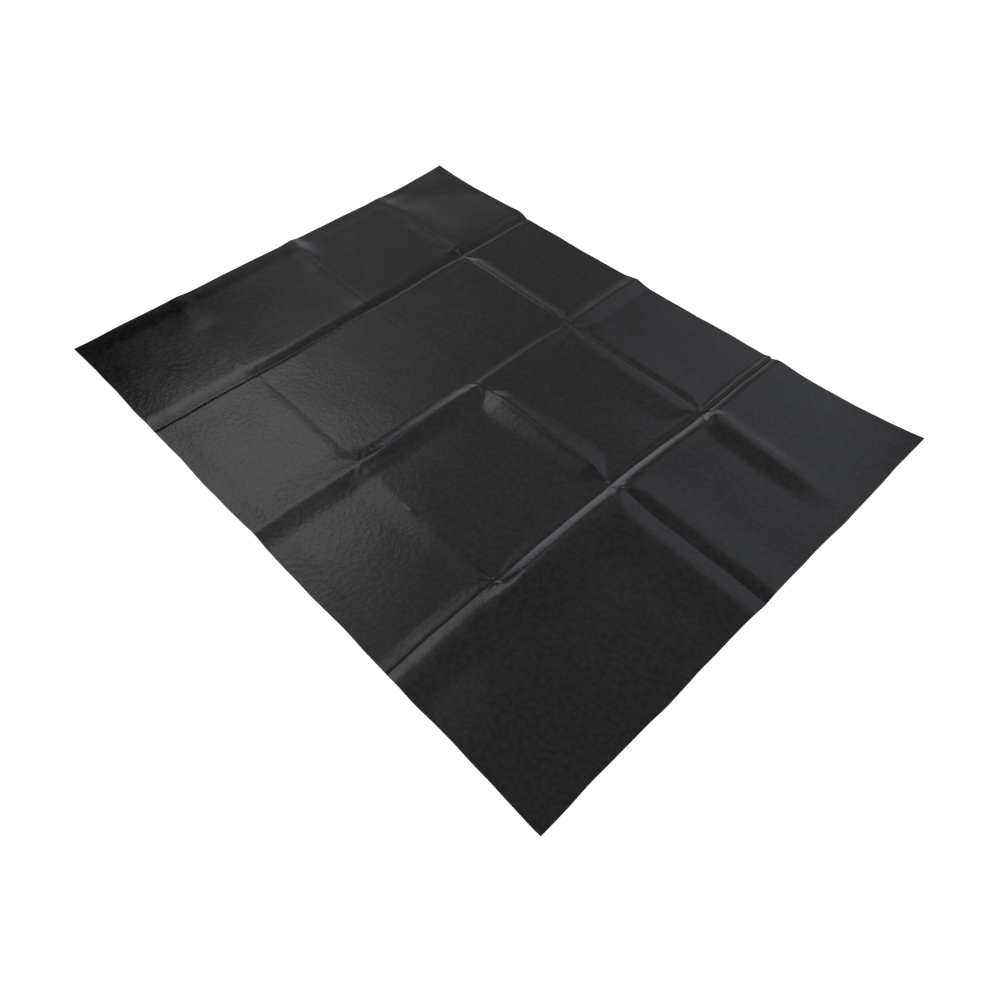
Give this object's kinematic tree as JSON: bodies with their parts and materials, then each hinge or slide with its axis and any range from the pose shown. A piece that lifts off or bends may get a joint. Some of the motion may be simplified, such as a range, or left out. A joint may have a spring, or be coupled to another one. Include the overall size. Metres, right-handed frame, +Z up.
{
  "type": "seedling heat mat",
  "caption": "Thin rectangular black vinyl warming mat for seed trays, with a film heater welded between two skins, creased by its packing folds and fan-folding flat along its cross creases.",
  "frame": {"origin": "Centre of the mat's outline, on the plane that its flat panels lie on.", "axes": "X along the long side, Y along the short side, Z up out of the face that the trays stand on."},
  "size_m": [1.2, 0.9, 0.0161],
  "materials": {
    "black_vinyl": "satin black flexible vinyl, faintly wrinkled",
    "clear_polyester": "thin clear polyester film",
    "printed_carbon": "matt screen-printed carbon ink",
    "copper_foil": "bright rolled copper foil",
    "tinned_copper": "dull tinned copper"
  },
  "bodies": {
    "strip_4": {"under_skin_4": "black_vinyl", "top_skin_4": "black_vinyl", "carrier_film_4": "clear_polyester", "cover_film_4": "clear_polyester", "bus_bar_front_4": "copper_foil", "bus_bar_back_4": "copper_foil", "carbon_4_1": "printed_carbon", "carbon_4_2": "printed_carbon", "carbon_4_3": "printed_carbon", "carbon_4_4": "printed_carbon", "feed_tab_front": "tinned_copper", "feed_tab_back": "tinned_copper"},
    "strip_3": {"under_skin_3": "black_vinyl", "top_skin_3": "black_vinyl", "carrier_film_3": "clear_polyester", "cover_film_3": "clear_polyester", "bus_bar_front_3": "copper_foil", "bus_bar_back_3": "copper_foil", "carbon_3_1": "printed_carbon", "carbon_3_2": "printed_carbon", "carbon_3_3": "printed_carbon", "carbon_3_4": "printed_carbon"},
    "strip_2": {"under_skin_2": "black_vinyl", "top_skin_2": "black_vinyl", "carrier_film_2": "clear_polyester", "cover_film_2": "clear_polyester", "bus_bar_front_2": "copper_foil", "bus_bar_back_2": "copper_foil", "carbon_2_1": "printed_carbon", "carbon_2_2": "printed_carbon", "carbon_2_3": "printed_carbon", "carbon_2_4": "printed_carbon"},
    "strip_1": {"under_skin_1": "black_vinyl", "top_skin_1": "black_vinyl", "carrier_film_1": "clear_polyester", "cover_film_1": "clear_polyester", "bus_bar_front_1": "copper_foil", "bus_bar_back_1": "copper_foil", "carbon_1_1": "printed_carbon", "carbon_1_2": "printed_carbon", "carbon_1_3": "printed_carbon", "carbon_1_4": "printed_carbon"}
  },
  "joints": [
    {"name": "fold_3", "type": "hinge", "parent": "strip_4", "child": "strip_3", "pos_m": [0.305, 0, 0.01206], "axis": [0, 1, 0], "range_deg": [0, 175]},
    {"name": "fold_2", "type": "hinge", "parent": "strip_3", "child": "strip_2", "pos_m": [-0.009, 0, -0.0003], "axis": [0, -1, 0], "range_deg": [0, 175]},
    {"name": "fold_1", "type": "hinge", "parent": "strip_2", "child": "strip_1", "pos_m": [-0.315, 0, 0.01206], "axis": [0, 1, 0], "range_deg": [0, 175]}
  ],
  "couplings": [
    {"joint": "fold_2", "follows": "fold_3", "ratio": 1},
    {"joint": "fold_1", "follows": "fold_3", "ratio": 1}
  ]
}
